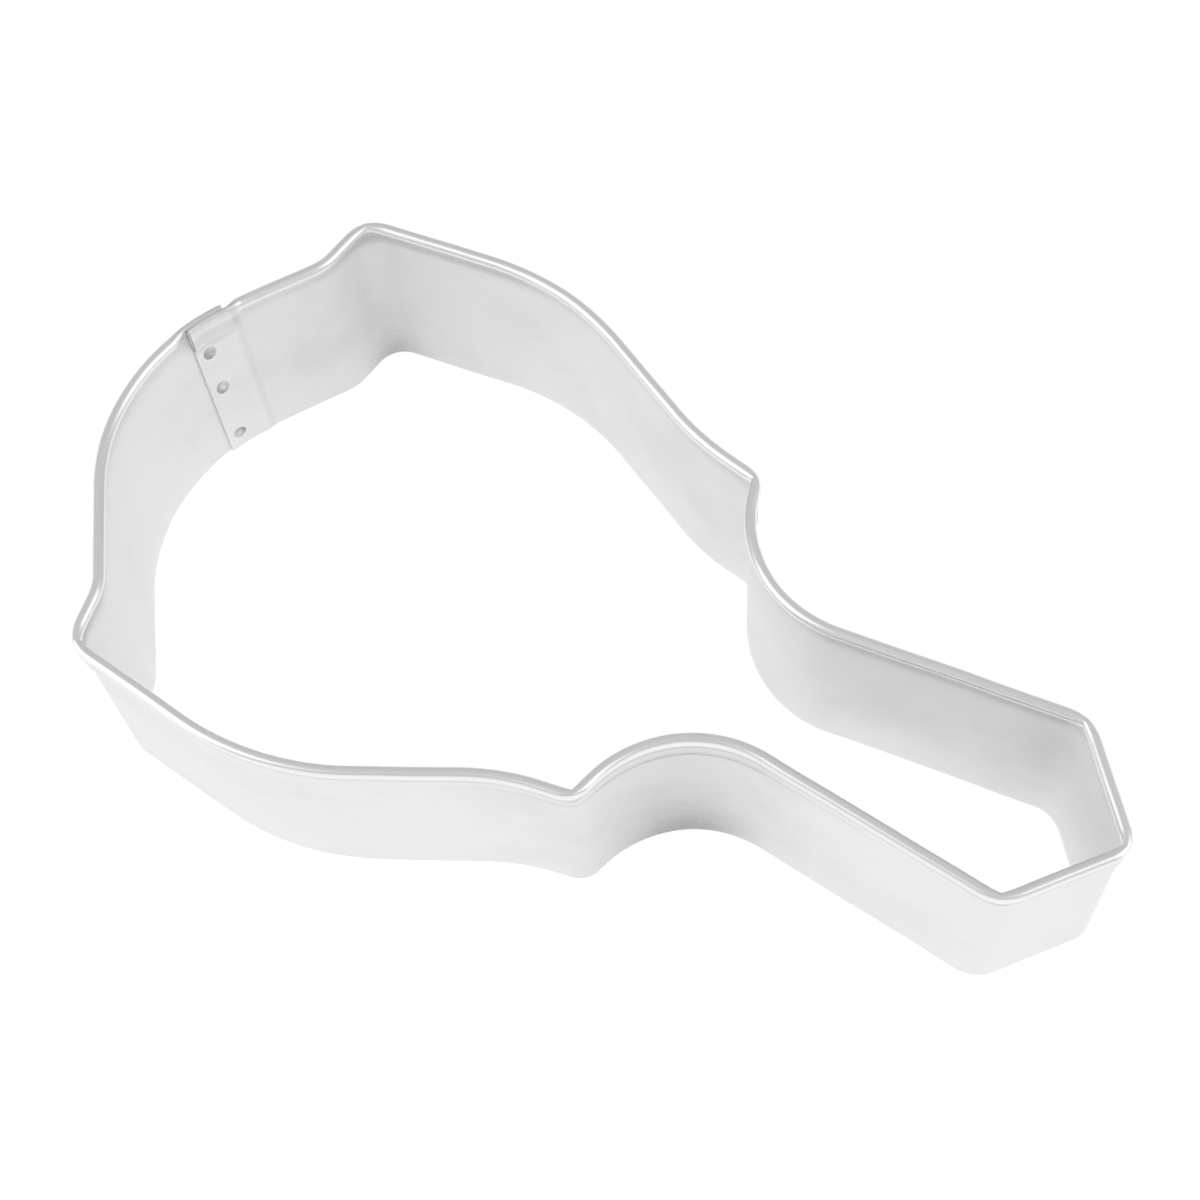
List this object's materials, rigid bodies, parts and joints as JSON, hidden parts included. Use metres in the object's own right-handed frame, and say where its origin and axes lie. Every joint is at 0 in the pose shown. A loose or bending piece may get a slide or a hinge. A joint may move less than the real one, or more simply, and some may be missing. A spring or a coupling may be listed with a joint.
{
  "type": "cookie cutter",
  "caption": "Tinplate cookie cutter in the outline of a hand mirror: a bent strip with a rolled top bead, a plain cutting edge and a spot-welded lap seam.",
  "frame": {"origin": "centre of the outline's box, on the plane of the cutting edge", "axes": "+X from the head towards the handle's tip, +Y across the head towards the side with the lap seam, +Z from the cutting edge up to the rolled bead"},
  "size_m": [0.113, 0.0622, 0.0254],
  "materials": {
    "tinplate": "bright satin tin plating on thin steel sheet",
    "weld": "dull grey spot-weld mark"
  },
  "bodies": {
    "root": {"cutter_band": "tinplate", "spot_weld_upper": "weld", "spot_weld_middle": "weld", "spot_weld_lower": "weld"}
  },
  "joints": []
}
